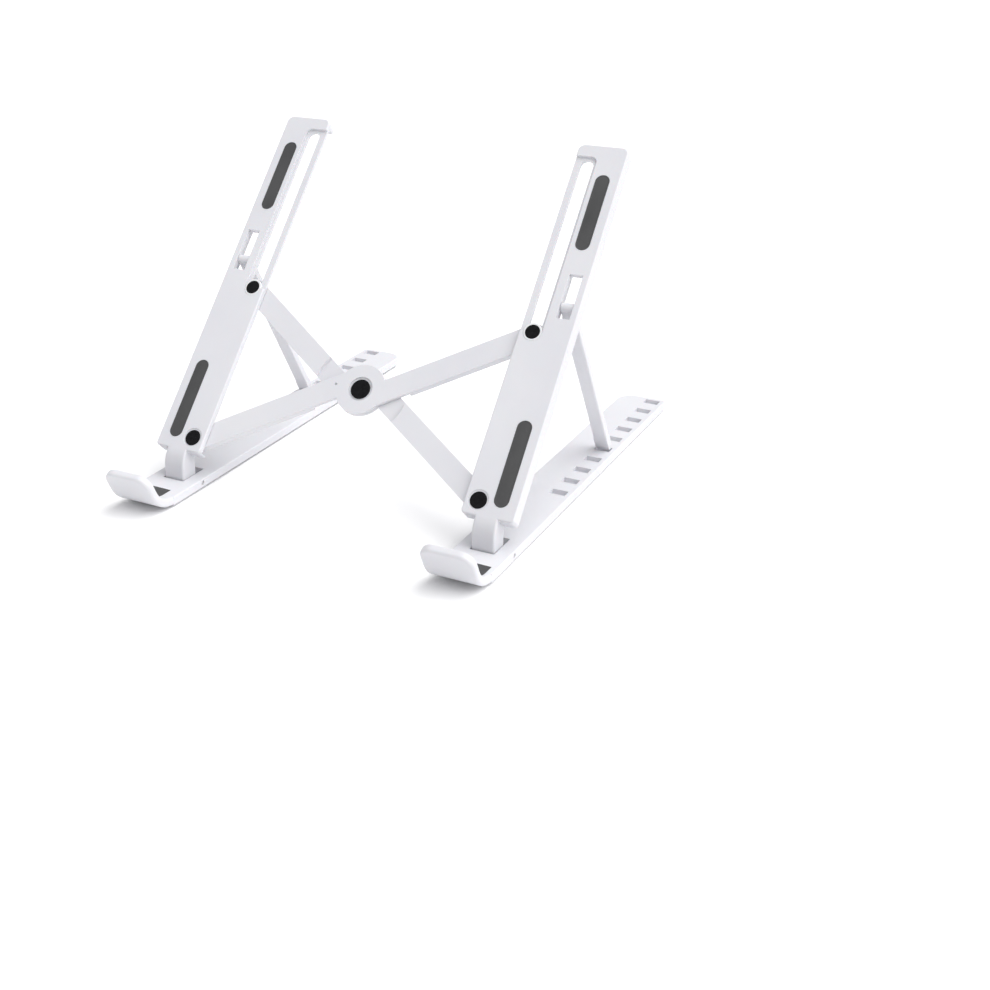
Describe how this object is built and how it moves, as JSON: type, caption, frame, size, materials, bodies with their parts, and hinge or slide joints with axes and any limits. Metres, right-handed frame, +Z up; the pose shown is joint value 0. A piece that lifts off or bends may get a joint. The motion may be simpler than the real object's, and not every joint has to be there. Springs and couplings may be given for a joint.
{
  "type": "folding laptop stand",
  "caption": "Folding laptop stand: notched base rails with front hooks, padded arms held up by props, joined by a scissor of crossing bars with black pivot caps.",
  "frame": {"origin": "centre of the whole stand's bottom, on the surface it stands on, with the stand open at its fifth height", "axes": "+X to the right seen from the front, +Y rearward along the rails away from the hooks, +Z up"},
  "size_m": [0.212, 0.283, 0.1799],
  "materials": {
    "white_plastic": "satin moulded ABS",
    "pad_silicone": "matte dark grey silicone",
    "foot_rubber": "matte grey silicone",
    "black_cap": "gloss black moulded",
    "steel_pin": "plain turned steel",
    "clip_steel": "stamped spring steel",
    "acetal": "natural white acetal"
  },
  "bodies": {
    "right_rail": {"right_rail": "white_plastic", "right_front_foot": "foot_rubber", "right_rear_foot": "foot_rubber", "right_hinge_pin": "steel_pin", "right_hook_pad": "pad_silicone"},
    "right_arm": {"right_arm": "white_plastic", "right_upper_pad": "pad_silicone", "right_lower_pad": "pad_silicone", "right_prop_pin": "steel_pin", "right_pivot_pin": "steel_pin", "right_pivot_cap": "black_cap", "right_pivot_clip": "clip_steel"},
    "right_prop": {"right_prop": "white_plastic"},
    "left_rail": {"left_rail": "white_plastic", "left_front_foot": "foot_rubber", "left_rear_foot": "foot_rubber", "left_hinge_pin": "steel_pin", "left_hook_pad": "pad_silicone"},
    "left_arm": {"left_arm": "white_plastic", "left_upper_pad": "pad_silicone", "left_lower_pad": "pad_silicone", "left_prop_pin": "steel_pin", "left_pivot_pin": "steel_pin", "left_pivot_cap": "black_cap", "left_pivot_clip": "clip_steel"},
    "left_prop": {"left_prop": "white_plastic"},
    "under_bar": {"under_bar": "white_plastic", "left_slider_pin": "acetal", "left_slider_cap": "black_cap", "left_slider_clip": "clip_steel"},
    "over_bar": {"over_bar": "white_plastic", "right_slider_pin": "acetal", "right_slider_cap": "black_cap", "right_slider_clip": "clip_steel", "hub_pin": "steel_pin", "hub_cap": "black_cap", "hub_clip": "clip_steel"}
  },
  "joints": [
    {"name": "stand_tilt", "type": "hinge", "parent": "right_rail", "child": "right_arm", "pos_m": [0.09185, -0.09201, 0.004], "axis": [1, 0, 0], "range_deg": [-29.1, 14.2]},
    {"name": "right_prop_swing", "type": "hinge", "parent": "right_arm", "child": "right_prop", "pos_m": [0.0986, -0.01309, 0.10755], "axis": [1, 0, 0], "range_deg": [-31.52, 64.6]},
    {"name": "scissor_fold", "type": "hinge", "parent": "right_arm", "child": "under_bar", "pos_m": [0.085, -0.08961, 0.0282], "axis": [0, -0.7385, 0.6743], "range_deg": [-56.9, 0]},
    {"name": "hub_pivot", "type": "hinge", "parent": "under_bar", "child": "over_bar", "pos_m": [0, -0.05832, 0.06246], "axis": [0, -0.7385, 0.6743], "range_deg": [0, 113.8]},
    {"name": "left_arm_pivot", "type": "hinge", "parent": "over_bar", "child": "left_arm", "pos_m": [-0.085, -0.08961, 0.0282], "axis": [0, -0.7385, 0.6743], "range_deg": [-56.9, 0]},
    {"name": "left_rail_tilt", "type": "hinge", "parent": "left_arm", "child": "left_rail", "pos_m": [-0.09185, -0.09201, 0.004], "axis": [1, 0, 0], "range_deg": [-14.2, 29.1]},
    {"name": "left_prop_swing", "type": "hinge", "parent": "left_arm", "child": "left_prop", "pos_m": [-0.0986, -0.01309, 0.10755], "axis": [1, 0, 0], "range_deg": [-31.52, 64.6]}
  ],
  "couplings": [
    {"joint": "right_prop_swing", "follows": "stand_tilt", "ratio": -2.22},
    {"joint": "left_prop_swing", "follows": "stand_tilt", "ratio": -2.22},
    {"joint": "left_rail_tilt", "follows": "stand_tilt", "ratio": -1},
    {"joint": "hub_pivot", "follows": "scissor_fold", "ratio": -2},
    {"joint": "left_arm_pivot", "follows": "scissor_fold", "ratio": 1}
  ]
}
